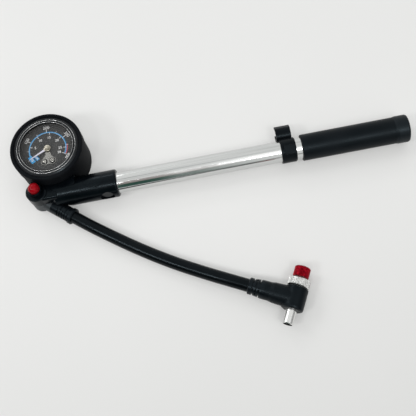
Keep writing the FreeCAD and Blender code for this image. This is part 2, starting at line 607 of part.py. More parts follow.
def gauge_movement():
    """Brass stem, Bourdon tube, frame, sector, pinion spindle and pointer."""
    stem_y = GAUGE_Y - CASE_R - 6
    stem = Part.makeCylinder(3.95, 11.5, Vector(GAUGE_X, stem_y, PASSAGE_Z), Y_AXIS)
    block = Part.makeBox(14, 5, 7, Vector(GAUGE_X - 7, stem_y + 10, PASSAGE_Z - 3.5))
    stem_bore = Part.makeCylinder(1.2, 13, Vector(GAUGE_X, stem_y - 1, PASSAGE_Z), Y_AXIS)
    save(stem.fuse(block).cut(stem_bore), "gauge_stem")
    save(Part.makeTorus(3.0, 0.8, Vector(GAUGE_X, stem_y - 0.85, PASSAGE_Z), Y_AXIS), "stem_seal")

    tube_r = 21.5
    tube = Part.makeTorus(tube_r, 1.9, ORIGIN, Z_AXIS, -180, 180, 265)
    tube.Placement = FreeCAD.Placement(Vector(GAUGE_X, GAUGE_Y, PASSAGE_Z), FreeCAD.Rotation(Z_AXIS, -70))
    save(tube.cut(block), "bourdon_tube")

    frame_parts = []
    for low in (17.2, 28.4):
        frame_parts.append(prism([
            (GAUGE_X - 8, GAUGE_Y + 4),
            (GAUGE_X - 8, GAUGE_Y - 18.4),
            (GAUGE_X + 8, GAUGE_Y - 18.4),
            (GAUGE_X + 8, GAUGE_Y + 4),
        ], low, low + 1.0))
    for x, y in ((-6.6, -16.9), (6.6, -16.9), (6.6, 2.6)):
        frame_parts.append(Part.makeCylinder(1.1, 10.4, Vector(GAUGE_X + x, GAUGE_Y + y, 18.1)))
    screw_spots = [Vector(GAUGE_X + x, GAUGE_Y + DIAL_SCREW_Y, 29.4) for x in (-DIAL_SCREW_X, DIAL_SCREW_X)]
    for spot in screw_spots:
        frame_parts.append(Part.makeCylinder(1.6, DIAL_TOP - 0.6 - 29.4, spot))
    frame = frame_parts[0].fuse(frame_parts[1:])
    for spot in screw_spots:
        frame = frame.cut(Part.makeCylinder(0.9, 4, spot))
    shaft_r = 0.8
    for y in (GAUGE_Y, PIVOT_Y):
        frame = frame.cut(Part.makeCylinder(shaft_r + RUNNING, 20, Vector(GAUGE_X, y, 15)))
    save(frame, "movement_frame")

    pinion_centre = Vector(GAUGE_X, GAUGE_Y, 0)
    step = 360.0 / PINION_TEETH
    pinion = prism(gear_points(pinion_centre, PINION_PITCH_R, PINION_TEETH, 0, PINION_TEETH, -90 + step / 2),
                   GEAR_Z - 0.3, GEAR_Z + GEAR_THICK + 0.3)
    spindle = rod(shaft_r, 16.6, 34.0, GAUGE_LINE)
    save(pinion.fuse(spindle), "pinion_spindle")

    sector_centre = Vector(GAUGE_X, PIVOT_Y, 0)
    tooth_step = 360.0 / SECTOR_TEETH
    first = -int(SECTOR_SWEEP / tooth_step) - 2
    count = -first + 3
    teeth = gear_points(sector_centre, SECTOR_PITCH_R, SECTOR_TEETH, first, count, 90)
    hub = Part.makeCylinder(2.2, GEAR_THICK, Vector(GAUGE_X, PIVOT_Y, GEAR_Z))
    outline = [(GAUGE_X - 1.2, PIVOT_Y), (GAUGE_X + 1.2, PIVOT_Y - 0.5)] + teeth
    sector = prism(outline, GEAR_Z, GEAR_Z + GEAR_THICK)
    shaft = Part.makeCylinder(shaft_r, 12.4, Vector(GAUGE_X, PIVOT_Y, 17.0))
    save(sector.fuse(hub).fuse(shaft), "sector_gear")

    pointer = prism([(0, -1.15), (18.2, -0.25), (18.2, 0.25), (0, 1.15)], 33.5, 33.8)
    pointer = pointer.fuse(Part.makeCylinder(2.4, 0.3, Vector(0, 0, 33.5)))
    pointer = pointer.cut(Part.makeCylinder(shaft_r, 3, Vector(0, 0, 32)))
    at_zero = FreeCAD.Rotation(Z_AXIS, POINTER_ZERO)
    pointer.Placement = FreeCAD.Placement(Vector(GAUGE_X, GAUGE_Y, 0), at_zero)
    save(pointer, "pointer")
    hub = lathe([
        (shaft_r, 33.8),
        (3.1, 33.8),
        (3.1, 34.2),
        (2.2, 34.4),
        (2.1, 35.4),
        (0, 35.7),
        (0, 34.0),
        (shaft_r, 34.0),
    ], GAUGE_LINE)
    save(hub, "pointer_hub")


# ---------------------------------------------------------------- swivel and hose
def swivel_parts():
    """Hollow post in the head, and the banjo that turns on it."""
    post_r = 4.0
    post = lathe([
        (1.5, 0.5),
        (6.4, 0.5),
        (6.4, 2.2),
        (post_r, 2.2),
        (post_r, 6.0),
        (3.0, 6.0),
        (3.0, 9.4),
        (post_r, 9.4),
        (post_r, PASSAGE_Z - 2.1),
        (1.5, PASSAGE_Z - 2.1),
    ], SWIVEL_LINE)
    cross_hole = Part.makeCylinder(1.0, 12, Vector(SWIVEL_X - 6, SWIVEL_Y, BANJO_Z), X_AXIS)
    plug = rod(1.5, 0.5, 2.2, SWIVEL_LINE)
    slot = Part.makeBox(14, 1.4, 0.9, Vector(SWIVEL_X - 7, SWIVEL_Y - 0.7, 0.4))
    save(post.fuse(plug).cut(cross_hole).cut(slot), "swivel_post")
    bore_r = post_r + RUNNING
    head_r = 6.4 + CLEARANCE
    body = lathe([
        (head_r, 1.0),
        (BANJO_R - 0.8, 1.0),
        (BANJO_R, 1.8),
        (BANJO_R, BANJO_TOP - 0.6),
        (BANJO_R - 0.6, BANJO_TOP),
        (bore_r, BANJO_TOP),
        (bore_r, 2.5),
        (head_r, 2.5),
    ], SWIVEL_LINE)
    arm = rod(BOOT_R - 0.6, 2, BOOT_FROM, HOSE_LINE)
    inside = rod(bore_r, 2.0, BANJO_TOP + 1, SWIVEL_LINE)
    counterbore = rod(head_r, 0, 2.5, SWIVEL_LINE)
    barb_hole = rod(3.0, BOOT_FROM - 4, BOOT_FROM + 1, HOSE_LINE)
    air = rod(1.2, 2, BOOT_FROM, HOSE_LINE)
    banjo = body.fuse(arm)
    for cut in (inside, counterbore, barb_hole, air):
        banjo = banjo.cut(cut)
    save(banjo, "swivel_banjo")
    rings = [ring(4.0, 3.02, low, low + 1.0, SWIVEL_LINE) for low in (6.1, 8.3)]
    save(Part.makeCompound(rings), "swivel_seal_rings")


def slotted_boot(start, end, start_r, end_r, collar_r, slots, slots_from, bore, placement):
    """Rubber strain relief with staggered slots and an end collar. bore is a list of (radius, height)."""
    outline = list(bore)
    outline += [
        (collar_r - 0.6, end),
        (collar_r, end - 0.6),
        (collar_r, end - 3.2),
        (collar_r - 0.4, end - 3.6),
        (end_r, end - 3.6),
        (start_r, slots_from),
        (start_r, start),
    ]
    boot = lathe(outline)
    step = (end - 3.6 - slots_from) / slots
    slot_width = 0.45 * step
    for k in range(slots):
        low = end - 3.6 - k * step - slot_width
        slot = ring(collar_r + 1, HOSE_R + 0.4, low, low + slot_width)
        bridge = Part.makeBox(4 * collar_r, 3.4, slot_width, Vector(-2 * collar_r, -1.7, low))
        bridge.rotate(ORIGIN, Z_AXIS, 90 * (k % 2))
        boot = boot.cut(slot.cut(bridge))
    boot.Placement = placement
    return boot


def hose_parts():
    """Boots, hose and ferrules between the banjo and the chuck."""
    hose_start = 24.0
    barb_end = BOOT_FROM + 9.0
    save(lathe([
        (1.2, BOOT_FROM - 4),
        (3.0, BOOT_FROM - 4),
        (3.0, BOOT_FROM + 4.5),
        (2.5, BOOT_FROM + 5.2),
        (2.5, barb_end),
        (1.2, barb_end),
    ], HOSE_LINE), "hose_barb")
    head_bore = [
        (3.0, BOOT_FROM), (3.0, BOOT_FROM + 4.5), (2.5, BOOT_FROM + 5.2), (2.5, barb_end),
        (0, barb_end), (0, hose_start), (HOSE_R, hose_start), (HOSE_R, BOOT_TO),
    ]
    save(slotted_boot(BOOT_FROM, BOOT_TO, BOOT_R - 0.6, BOOT_R - 0.8, BOOT_R, 5, BOOT_FROM + 5.6, head_bore,
                      HOSE_LINE), "head_boot")
    hose_end = 27.0
    neck_bore = [(0, NECK_BOOT_FROM), (0, hose_end), (HOSE_R, hose_end), (HOSE_R, NECK_BOOT_TO)]
    save(slotted_boot(NECK_BOOT_FROM, NECK_BOOT_TO, 8.0, 6.9, 7.2, 3, NECK_BOOT_FROM + 2.4, neck_bore,
                      NECK_LINE), "chuck_boot")
    save(hose_tube(), "hose")


def hose_tube():
    """Straight runs joined by tangent arcs, swept with the hose's section."""
    points = [Vector(*p) for p in HOSE_ROUTE]
    edges = []
    length = 0.0
    last = points[0]
    for before, corner, after in zip(points, points[1:], points[2:]):
        run_in = corner - before
        run_out = after - corner
        turn = run_in.getAngle(run_out)
        reach = 0.45 * min(run_in.Length, run_out.Length)
        radius = reach / math.tan(turn / 2)
        unit_in = Vector(run_in).normalize()
        unit_out = Vector(run_out).normalize()
        arc_start = corner - unit_in * reach
        arc_end = corner + unit_out * reach
        inward = (unit_out - unit_in).normalize()
        arc_middle = corner + inward * (radius / math.cos(turn / 2) - radius)
        edges.append(Part.LineSegment(last, arc_start).toShape())
        edges.append(Part.Arc(arc_start, arc_middle, arc_end).toShape())
        length += (arc_start - last).Length + radius * turn
        last = arc_end
        print("hose corner: turn %.1f deg, radius %.0f mm" % (math.degrees(turn), radius))
    edges.append(Part.LineSegment(last, points[-1]).toShape())
    length += (points[-1] - last).Length
    path = Part.Wire(edges)
    section = Part.Wire(Part.makeCircle(HOSE_R, points[0], points[1] - points[0]))
    tube = path.makePipeShell([section], True, False)
    print("hose length %.1f mm, volume / (section x length) = %.4f"
          % (length, tube.Volume / (math.pi * HOSE_R ** 2 * length)))
    return tube


# ---------------------------------------------------------------- chuck
def chuck_body():
    """Black housing and neck, open for the threaded sleeve."""
    housing = lathe([
        (0, -10.2),
        (CHUCK_R - 1.8, -10.2),
        (CHUCK_R - 0.4, -9.4),
        (CHUCK_R, -8.0),
        (CHUCK_R, 8.6),
        (CHUCK_R - 1.0, 9.6),
        (0, 9.6),
    ], CHUCK_LINE)
    neck = lathe([
        (0, 0),
        (9.0, 0),
        (9.0, 11.0),
        (8.7, 18.0),
        (8.0, 21.0),
        (8.0, NECK_BOOT_FROM),
        (0, NECK_BOOT_FROM),
    ], NECK_LINE)
    bore = rod(5.5 + RUNNING, -9.0, 11, CHUCK_LINE)
    mouth = rod(SLEEVE_R + RUNNING, -11, -8.9, CHUCK_LINE)
    air = rod(1.2, 3, NECK_BOOT_FROM + 1, NECK_LINE)
    return housing.fuse(neck).cut(bore).cut(mouth).cut(air)


def chuck_parts():
    """Turning threaded sleeve with its knurled collar, and the core pin with its red knob."""
    save(chuck_body(), "chuck_body")
    sleeve = lathe([
        (SLEEVE_R - 0.5, -22.5),
        (SLEEVE_R, -22.0),
        (SLEEVE_R, -8.8),
        (5.5, -8.8),
        (5.5, 9.6),
        (4.2, 9.6),
        (4.2, 16.4),
        (1.3 + RUNNING, 16.4),
        (1.3 + RUNNING, -10.5),
        (SEAL_R, -10.5),
        (SEAL_R, -12.3),
        (THREAD_R, -12.3),
        (THREAD_R, -22.5),
    ], CHUCK_LINE)
    air_groove = ring(6.5, 4.6, -2, 2, CHUCK_LINE)
    air_hole = rod(0.8, -7, 7, NECK_LINE)
    save(sleeve.cut(air_groove).cut(air_hole), "chuck_sleeve")
    grip = knurled(9.35, 0.35, 44, 9.9, 16.6, 0.7).cut(rod(4.2, 0, 20))
    grip.Placement = CHUCK_LINE
    save(grip, "thread_collar")
    save(ring(SEAL_R, 1.6, -12.3, -10.5, CHUCK_LINE), "chuck_seal")
    seals = [ring(5.5, 4.65, low, low + 0.9, CHUCK_LINE) for low in (-1.9, 1.0)]
    save(Part.makeCompound(seals), "sleeve_seal_rings")
    save(rod(1.3, -11.6, 20.0, CHUCK_LINE), "core_pin")
    knob = knurled(6.75, 0.3, 36, 18.4, 27.4, 0.6).cut(rod(1.3, 17, 20.0))
    knob.Placement = CHUCK_LINE
    save(knob, "core_knob")


def main():
    os.makedirs("parts", exist_ok=True)
    save(head_body(), "head_body")
    bleed_parts()
    valve_parts()
    barrel_parts()
    save(clip_collar(), "clip_collar")
    plunger_parts()
    gauge_shell()
    gauge_dial_parts()
    gauge_movement()
    swivel_parts()
    hose_parts()
    chuck_parts()


main()
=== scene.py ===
import json
import math
import bmesh
import bpy
from mathutils import Matrix, Vector


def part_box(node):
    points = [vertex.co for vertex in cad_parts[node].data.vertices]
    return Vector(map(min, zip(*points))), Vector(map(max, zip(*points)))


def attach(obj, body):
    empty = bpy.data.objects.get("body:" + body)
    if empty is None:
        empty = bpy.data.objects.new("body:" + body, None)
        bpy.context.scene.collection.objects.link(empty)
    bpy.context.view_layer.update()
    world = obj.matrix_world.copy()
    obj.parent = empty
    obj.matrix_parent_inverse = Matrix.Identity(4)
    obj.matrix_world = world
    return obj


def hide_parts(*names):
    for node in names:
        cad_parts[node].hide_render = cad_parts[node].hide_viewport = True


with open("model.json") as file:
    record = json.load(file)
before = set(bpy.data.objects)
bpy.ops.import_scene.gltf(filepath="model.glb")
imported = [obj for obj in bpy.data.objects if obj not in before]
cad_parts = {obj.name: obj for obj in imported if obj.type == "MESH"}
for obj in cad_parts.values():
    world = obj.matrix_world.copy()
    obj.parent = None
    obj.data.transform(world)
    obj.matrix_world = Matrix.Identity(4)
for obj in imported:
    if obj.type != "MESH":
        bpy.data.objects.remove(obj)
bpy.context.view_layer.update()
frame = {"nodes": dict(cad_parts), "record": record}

MM = 0.001

# ---------------------------------------------------------------- places, all read from the CAD
DIAL_LOW, DIAL_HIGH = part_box("gauge_dial")
GAUGE_X = (DIAL_LOW[0] + DIAL_HIGH[0]) / 2
GAUGE_Y = (DIAL_LOW[1] + DIAL_HIGH[1]) / 2
DIAL_TOP = DIAL_HIGH[2]
LENS_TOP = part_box("gauge_lens")[1][2]

# ---------------------------------------------------------------- dial print
POINTER_ZERO = 206.0            # degrees anticlockwise from +X
POINTER_SWEEP = 233.1           # degrees clockwise to full scale
PRINT = 0.00006                 # thickness of one layer of print
SCALE_RADIUS = 16.7 * MM        # middle of the blue arc
SCALE_WIDTH = 1.15 * MM
LIMIT_RADIUS = 17.8 * MM
LIMIT_WIDTH = 1.0 * MM
LIMIT_FROM = 0.86               # share of full scale where the red arc starts
OUTER_MARKS = 8                 # steps of the outer scale
LONG_MARK = 3.3 * MM            # reach of the outer marks past the arc's middle
SHORT_MARK = 2.0 * MM
INNER_MARK = 2.7 * MM           # reach of the inner marks towards the centre
MARK_START = 0.2 * MM           # where outer and inner marks start, either side of the arc's middle
FINE_MARKS = 80                 # steps of the fine marks on the arc
INNER_VALUES = (5, 10, 15, 20, 25)
INNER_LAST = 27.5               # value of the last inner mark
BAR_FULL = 27.6                 # inner numbers' value at full scale
OUTER_NUMBER_RADIUS = 21.5 * MM
OUTER_NUMBER_SIZE = 4.0 * MM
LAST_NUMBER_RADIUS = 20.1 * MM
LAST_NUMBER_SIZE = 3.8 * MM
LAST_NUMBER_LEAD = 3.5          # degrees past the end of the scale
INNER_NUMBER_RADIUS = 11.4 * MM
INNER_NUMBER_SIZE = 3.3 * MM
UNIT_BOXES = [                  # words, radius mm, degrees, long side mm, short side mm
    ("PSI", 16.9, 208.5, 7.4, 3.8),
    ("BAR", 12.6, 213.0, 5.6, 3.0),
]

# ---------------------------------------------------------------- bezel rings
BEZEL_RINGS = [                 # name, radius mm, half width mm, half height mm
    ("bezel_inner_ring", 24.25, 0.33, 0.5),
    ("bezel_outer_ring", 26.4, 0.35, 0.35),
]
BEZEL_RING_LIFT = 0.5 * MM      # middle of a ring's section above the lens
BEAD_CORNERS = 14
LATHE_STEPS = 128

# ---------------------------------------------------------------- hose route
HOSE_RADIUS = 5.6 * MM
HOSE_ROUTE = [
    (-0.13974, -0.04281, 0.0078),
    (-0.12138, -0.05827, 0.0078),
    (-0.1015, -0.0733, 0.00685),
    (-0.0785, -0.08995, 0.00595),
    (-0.05242, -0.10716, 0.00585),
    (-0.027, -0.12195, 0.0071),
    (-0.00159, -0.13602, 0.0096),
    (0.02157, -0.14782, 0.0096),
]

# ---------------------------------------------------------------- camera
CAMERA_SPOT = (0.0016, -0.30105, 0.5772)
CAMERA_BACK = (0.0215, -0.3819, 0.924)
CAMERA_RIGHT = (0.9825, -0.1629, -0.0902)
LENS_LENGTH = 60.58             # millimetres, on a 36 mm sensor


def make_camera():
    data = bpy.data.cameras.new("camera")
    data.sensor_width = 36.0
    data.lens = LENS_LENGTH
    data.clip_start = 0.01
    camera = bpy.data.objects.new("camera", data)
    bpy.context.scene.collection.objects.link(camera)
    back = Vector(CAMERA_BACK).normalized()
    right = Vector(CAMERA_RIGHT)
    right = (right - back * right.dot(back)).normalized()
    up = back.cross(right)
    turn = Matrix((right, up, back)).transposed().to_4x4()
    camera.matrix_world = Matrix.Translation(CAMERA_SPOT) @ turn
    bpy.context.scene.camera = camera


# ---------------------------------------------------------------- node helpers
def new_material(name):
    material = bpy.data.materials.new(name)
    material.use_nodes = True
    nodes = material.node_tree.nodes
    links = material.node_tree.links
    return material, nodes, links, nodes["Principled BSDF"]


def object_noise(nodes, links, scale, detail, stretch=(1, 1, 1), turn=(0, 0, 0)):
    """Noise in the object's own metres; scale is in cycles per metre."""
    coords = nodes.new("ShaderNodeTexCoord")
    mapping = nodes.new("ShaderNodeMapping")
    mapping.inputs["Scale"].default_value = stretch
    mapping.inputs["Rotation"].default_value = turn
    noise = nodes.new("ShaderNodeTexNoise")
    noise.inputs["Scale"].default_value = scale
    noise.inputs["Detail"].default_value = detail
    links.new(coords.outputs["Object"], mapping.inputs["Vector"])
    links.new(mapping.outputs["Vector"], noise.inputs["Vector"])
    return noise.outputs["Fac"]


def map_range(nodes, links, source, low, high, start=0.3, end=0.7):
    node = nodes.new("ShaderNodeMapRange")
    node.inputs["From Min"].default_value = start
    node.inputs["From Max"].default_value = end
    node.inputs["To Min"].default_value = low
    node.inputs["To Max"].default_value = high
    links.new(source, node.inputs["Value"])
    return node.outputs["Result"]


def two_colours(nodes, links, source, dark, light):
    ramp = nodes.new("ShaderNodeValToRGB")
    ramp.color_ramp.elements[0].position = 0.35
    ramp.color_ramp.elements[0].color = (*dark, 1)
    ramp.color_ramp.elements[1].position = 0.65
    ramp.color_ramp.elements[1].color = (*light, 1)
    links.new(source, ramp.inputs["Fac"])
    return ramp.outputs["Color"]


def bump(nodes, links, source, strength, distance):
    node = nodes.new("ShaderNodeBump")
    node.inputs["Strength"].default_value = strength
    node.inputs["Distance"].default_value = distance
    links.new(source, node.inputs["Height"])
    return node.outputs["Normal"]


# ---------------------------------------------------------------- materials
def grained(name, dark, light, rough, grain, depth, gloss=0.12, patch=60.0, coat=0.0):
    """Moulded plastic or rubber: fine grain in the surface, faint patches in colour and gloss."""
    material, nodes, links, shader = new_material(name)
    fine = object_noise(nodes, links, grain, 3.0)
    broad = object_noise(nodes, links, patch, 5.0)
    links.new(two_colours(nodes, links, broad, dark, light), shader.inputs["Base Color"])
    links.new(map_range(nodes, links, broad, rough - 0.06, rough + 0.06), shader.inputs["Roughness"])
    links.new(bump(nodes, links, fine, 0.35, depth), shader.inputs["Normal"])
    shader.inputs["Specular IOR Level"].default_value = gloss
    shader.inputs["Specular Tint"].default_value = (*SHEEN, 1)
    shader.inputs["Coat Weight"].default_value = coat
    shader.inputs["Coat Roughness"].default_value = 0.15
    return material


def dyed(name, dark, light, rough, gloss):
    """Gloss plastic with faint patches in its dye."""
    material, nodes, links, shader = new_material(name)
    broad = object_noise(nodes, links, 200.0, 4.0)
    links.new(two_colours(nodes, links, broad, dark, light), shader.inputs["Base Color"])
    links.new(map_range(nodes, links, broad, rough - 0.03, rough + 0.05), shader.inputs["Roughness"])
    shader.inputs["Specular IOR Level"].default_value = gloss
    return material


def metal(name, dark, light, rough, stretch, turn=(0, 0, 0), scale=220.0, depth=0.00002):
    """Metal with fine marks in colour and surface, which stretch draws out into lines."""
    material, nodes, links, shader = new_material(name)
    lines = object_noise(nodes, links, scale, 6.0, stretch, turn)
    marks = object_noise(nodes, links, 45.0, 6.0)
    links.new(two_colours(nodes, links, lines, dark, light), shader.inputs["Base Color"])
    links.new(map_range(nodes, links, marks, rough - 0.05, rough + 0.08), shader.inputs["Roughness"])
    links.new(bump(nodes, links, lines, 0.3, depth), shader.inputs["Normal"])
    shader.inputs["Metallic"].default_value = 1.0
    return material


def lens_material():
    material, nodes, links, shader = new_material("clear_lens")
    marks = object_noise(nodes, links, 120.0, 6.0)
    links.new(map_range(nodes, links, marks, 0.02, 0.06), shader.inputs["Roughness"])
    shader.inputs["Base Color"].default_value = (0.02, 0.02, 0.02, 1)
    shader.inputs["Alpha"].default_value = 0.10
    shader.inputs["IOR"].default_value = 1.49
    return material


def print_ink(name, colour, rough=0.5):
    """Screen-printed ink, a little uneven."""
    material, nodes, links, shader = new_material(name)
    speckle = object_noise(nodes, links, 3000.0, 2.0)
    faded = tuple(c * 0.8 for c in colour)
    links.new(two_colours(nodes, links, speckle, faded, colour), shader.inputs["Base Color"])
    shader.inputs["Roughness"].default_value = rough
    return material


SHEEN = (0.72, 0.90, 1.0)       # cool tint of what plastic and rubber reflect
ALONG_CHUCK = (0, 0, math.radians(-63))
MATERIALS = {
    "head": grained("head_plastic", (0.0006, 0.0012, 0.0020), (0.0014, 0.0022, 0.0032),
                    rough=0.23, grain=2600, depth=0.00006, gloss=0.15),
    "swivel": grained("swivel_plastic", (0.022, 0.023, 0.024), (0.032, 0.033, 0.034),
                      rough=0.45, grain=2600, depth=0.00008, gloss=0.4),
    "clip": grained("clip_plastic", (0.0014, 0.002, 0.0028), (0.0026, 0.0034, 0.0042),
                    rough=0.30, grain=2600, depth=0.00005, gloss=0.11),
    "cap": grained("cap_plastic", (0.0014, 0.002, 0.003), (0.0028, 0.0034, 0.0045),
                   rough=0.42, grain=2400, depth=0.00005, gloss=0.23),
    "chuck": grained("chuck_plastic", (0.0012, 0.002, 0.003), (0.0026, 0.0036, 0.0048),
                     rough=0.34, grain=2600, depth=0.00005, gloss=0.13),
    "guard": grained("guard_rubber", (0.0035, 0.0041, 0.0052), (0.006, 0.0066, 0.0078),
                     rough=0.52, grain=1800, depth=0.0001, gloss=0.03),
    "grip": grained("grip_rubber", (0.0012, 0.0019, 0.0028), (0.0026, 0.0034, 0.0045),
                    rough=0.40, grain=1500, depth=0.00008, gloss=0.13),
    "boot": grained("boot_rubber", (0.0014, 0.0022, 0.0034), (0.003, 0.004, 0.0055),
                    rough=0.30, grain=2200, depth=0.00006, gloss=0.18),
    "hose": grained("hose_rubber", (0.0010, 0.0014, 0.0018), (0.0022, 0.0027, 0.0034),
                    rough=0.25, grain=1800, depth=0.00004, gloss=0.12),
    "seal": grained("seal_rubber", (0.004, 0.004, 0.0045), (0.007, 0.007, 0.0075),
                    rough=0.5, grain=1800, depth=0.00005),
    "bezel": grained("bezel_black", (0.010, 0.010, 0.011), (0.015, 0.015, 0.016),
                     rough=0.28, grain=900, depth=0.00001, gloss=0.22, patch=80, coat=0.1),
    # Bezel rings: partly painted highlight, a pale metal lighter than the black bezel so the rings read as
    # bright lines all round; they also reflect the lamps.
    "bead": metal("bezel_bead", (0.30, 0.30, 0.30), (0.42, 0.42, 0.42),
                  rough=0.22, stretch=(1, 1, 1), scale=300),
    "dial": grained("dial_face", (0.062, 0.062, 0.062), (0.078, 0.077, 0.076),
                    rough=0.7, grain=4000, depth=0.00004),
    "case": grained("case_enamel", (0.006, 0.006, 0.007), (0.010, 0.010, 0.011),
                    rough=0.4, grain=1500, depth=0.00003),
    "nylon": grained("piston_nylon", (0.60, 0.58, 0.52), (0.68, 0.66, 0.60),
                     rough=0.5, grain=1500, depth=0.00004, gloss=0.4),
    "red_button": dyed("red_button", (0.17, 0.0015, 0.004), (0.26, 0.003, 0.008), rough=0.10, gloss=0.08),
    "red_knob": metal("red_anodised", (0.16, 0.003, 0.008), (0.40, 0.008, 0.020),
                      rough=0.32, stretch=(1, 1, 1), scale=700),
    "barrel": metal("barrel_aluminium", (0.60, 0.61, 0.605), (0.68, 0.685, 0.68),
                    rough=0.12, stretch=(0.06, 7, 7), depth=0.000003),
    "handle": metal("handle_aluminium", (0.62, 0.62, 0.62), (0.72, 0.72, 0.72),
                    rough=0.35, stretch=(0.06, 7, 7)),
    "sleeve": metal("sleeve_aluminium", (0.74, 0.74, 0.73), (0.84, 0.84, 0.83),
                    rough=0.12, stretch=(0.08, 6, 6), turn=ALONG_CHUCK),
    "collar": metal("collar_aluminium", (0.55, 0.55, 0.54), (0.88, 0.88, 0.87),
                    rough=0.26, stretch=(1, 1, 1), scale=700),
    "steel": metal("plain_steel", (0.50, 0.50, 0.51), (0.62, 0.62, 0.63), rough=0.28, stretch=(0.3, 3, 3)),
    "bright": metal("dial_steel", (0.28, 0.275, 0.26), (0.62, 0.61, 0.58),
                    rough=0.20, stretch=(1, 5, 1), scale=400),
    "hub": metal("pale_brass", (0.38, 0.35, 0.28), (0.60, 0.57, 0.48),
                 rough=0.30, stretch=(1, 1, 4), scale=400),
    "brass": metal("turned_brass", (0.62, 0.44, 0.20), (0.76, 0.57, 0.28), rough=0.30, stretch=(1, 1, 4)),
    "white": print_ink("pointer_enamel", (0.86, 0.84, 0.96), 0.35),
    "ink_blue": print_ink("ink_blue", (0.045, 0.36, 0.74)),
    "ink_red": print_ink("ink_red", (0.50, 0.085, 0.10)),
    "ink_white": print_ink("ink_white", (0.86, 0.86, 0.86)),
    "lens": lens_material(),
}

SLOT_MATERIAL = {
    "head_plastic": "head",
    "swivel_plastic": "swivel",
    "clip_plastic": "clip",
    "cap_plastic": "cap",
    "chuck_plastic": "chuck",
    "guard_rubber": "guard",
    "grip_rubber": "grip",
    "boot_rubber": "boot",
    "hose_rubber": "hose",
    "seal_rubber": "seal",
    "bezel_black": "bezel",
    "case_metal": "case",
    "dial_face": "dial",
    "lens": "lens",
    "barrel_metal": "barrel",
    "handle_metal": "handle",
    "chuck_metal": "sleeve",
    "collar_metal": "collar",
    "red_button": "red_button",
    "red_knob": "red_knob",
    "steel": "steel",
    "dial_steel": "bright",
    "hub_metal": "hub",
    "pointer_white": "white",
    "brass": "brass",
    "piston_plastic": "nylon",
}


def paint_cad_nodes():
    for subpart in frame["record"]["subparts"]:
        node = subpart["node"]
        material = MATERIALS[SLOT_MATERIAL[subpart["material_slot"]]]
        for place in frame["nodes"][node].material_slots:
            place.material = material


# ---------------------------------------------------------------- mesh helpers
def add_piece(name, mesh, material, body):
    piece = bpy.data.objects.new(name, mesh)
    bpy.context.scene.collection.objects.link(piece)
    mesh.materials.clear()
    mesh.materials.append(MATERIALS[material])
    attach(piece, body)


def lathe(name, outline, place, material, body):
    """Solid turned about local Z from a closed loop of (radius, height) corners."""
    mesh = bpy.data.meshes.new(name)
    build = bmesh.new()
    rings = []
    for k in range(LATHE_STEPS):
        angle = 2 * math.pi * k / LATHE_STEPS
        rings.append([build.verts.new(place @ Vector((r * math.cos(angle), r * math.sin(angle), z)))
                      for r, z in outline])
    for k in range(LATHE_STEPS):
        here = rings[k]
        there = rings[(k + 1) % LATHE_STEPS]
        for i in range(len(outline)):
            j = (i + 1) % len(outline)
            build.faces.new((here[i], there[i], there[j], here[j]))
    bmesh.ops.remove_doubles(build, verts=build.verts, dist=1e-6)
    bmesh.ops.recalc_face_normals(build, faces=build.faces)
    for face in build.faces:
        face.smooth = True
    build.to_mesh(mesh)
    build.free()
    add_piece(name, mesh, material, body)


def bead_outline(radius, height, half_width, half_height):
    """Rounded section of a ring."""
    angles = [2 * math.pi * k / BEAD_CORNERS for k in range(BEAD_CORNERS)]
    return [(radius + half_width * math.cos(a), height + half_height * math.sin(a)) for a in angles]


# ---------------------------------------------------------------- hose
def make_hose():
    data = bpy.data.curves.new("hose_line", "CURVE")
    data.dimensions = "3D"
    data.bevel_depth = HOSE_RADIUS
    data.bevel_resolution = 8
    data.resolution_u = 24
    data.use_fill_caps = True
    spline = data.splines.new("NURBS")
    spline.points.add(len(HOSE_ROUTE) - 1)
    for point, spot in zip(spline.points, HOSE_ROUTE):
        point.co = (*spot, 1)
    spline.order_u = 3
    spline.use_endpoint_u = True
    data.materials.append(MATERIALS["hose"])
    hose = bpy.data.objects.new("rubber_hose", data)
    bpy.context.scene.collection.objects.link(hose)
    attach(hose, "hose_assembly")
    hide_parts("hose")


# ---------------------------------------------------------------- dial helpers and pieces
def on_dial(radius, degrees, lift):
    angle = math.radians(degrees)
    x = GAUGE_X + radius * math.cos(angle)
    y = GAUGE_Y + radius * math.sin(angle)
    return Vector((x, y, DIAL_TOP + lift))


def dial_angle(share):
    """Angle of a share of full scale, clockwise from the pointer's zero."""
    return POINTER_ZERO - POINTER_SWEEP * share


def flat_piece(name, quads, material):
    """Thin printed shapes on the dial, from loops of four corners."""
    mesh = bpy.data.meshes.new(name)
    build = bmesh.new()
    for quad in quads:
        build.faces.new([build.verts.new(corner) for corner in quad])
    bmesh.ops.remove_doubles(build, verts=build.verts, dist=1e-7)
    bmesh.ops.recalc_face_normals(build, faces=build.faces)
    for face in build.faces:
        if face.normal.z < 0:
            face.normal_flip()
    build.to_mesh(mesh)
    build.free()
    add_piece(name, mesh, material, "pump_body")


def arc_quads(radius, width, start, end, steps, lift):
    quads = []
    for k in range(steps):
        a = start + (end - start) * k / steps
        b = start + (end - start) * (k + 1) / steps
        quads.append((on_dial(radius - width / 2, a, lift), on_dial(radius + width / 2, a, lift),
                      on_dial(radius + width / 2, b, lift), on_dial(radius - width / 2, b, lift)))
    return quads


def tick_quad(inner, outer, degrees, width, lift):
    side = Vector((-math.sin(math.radians(degrees)), math.cos(math.radians(degrees)), 0)) * width / 2
    near = on_dial(inner, degrees, lift)
    far = on_dial(outer, degrees, lift)
    return (near - side, far - side, far + side, near + side)


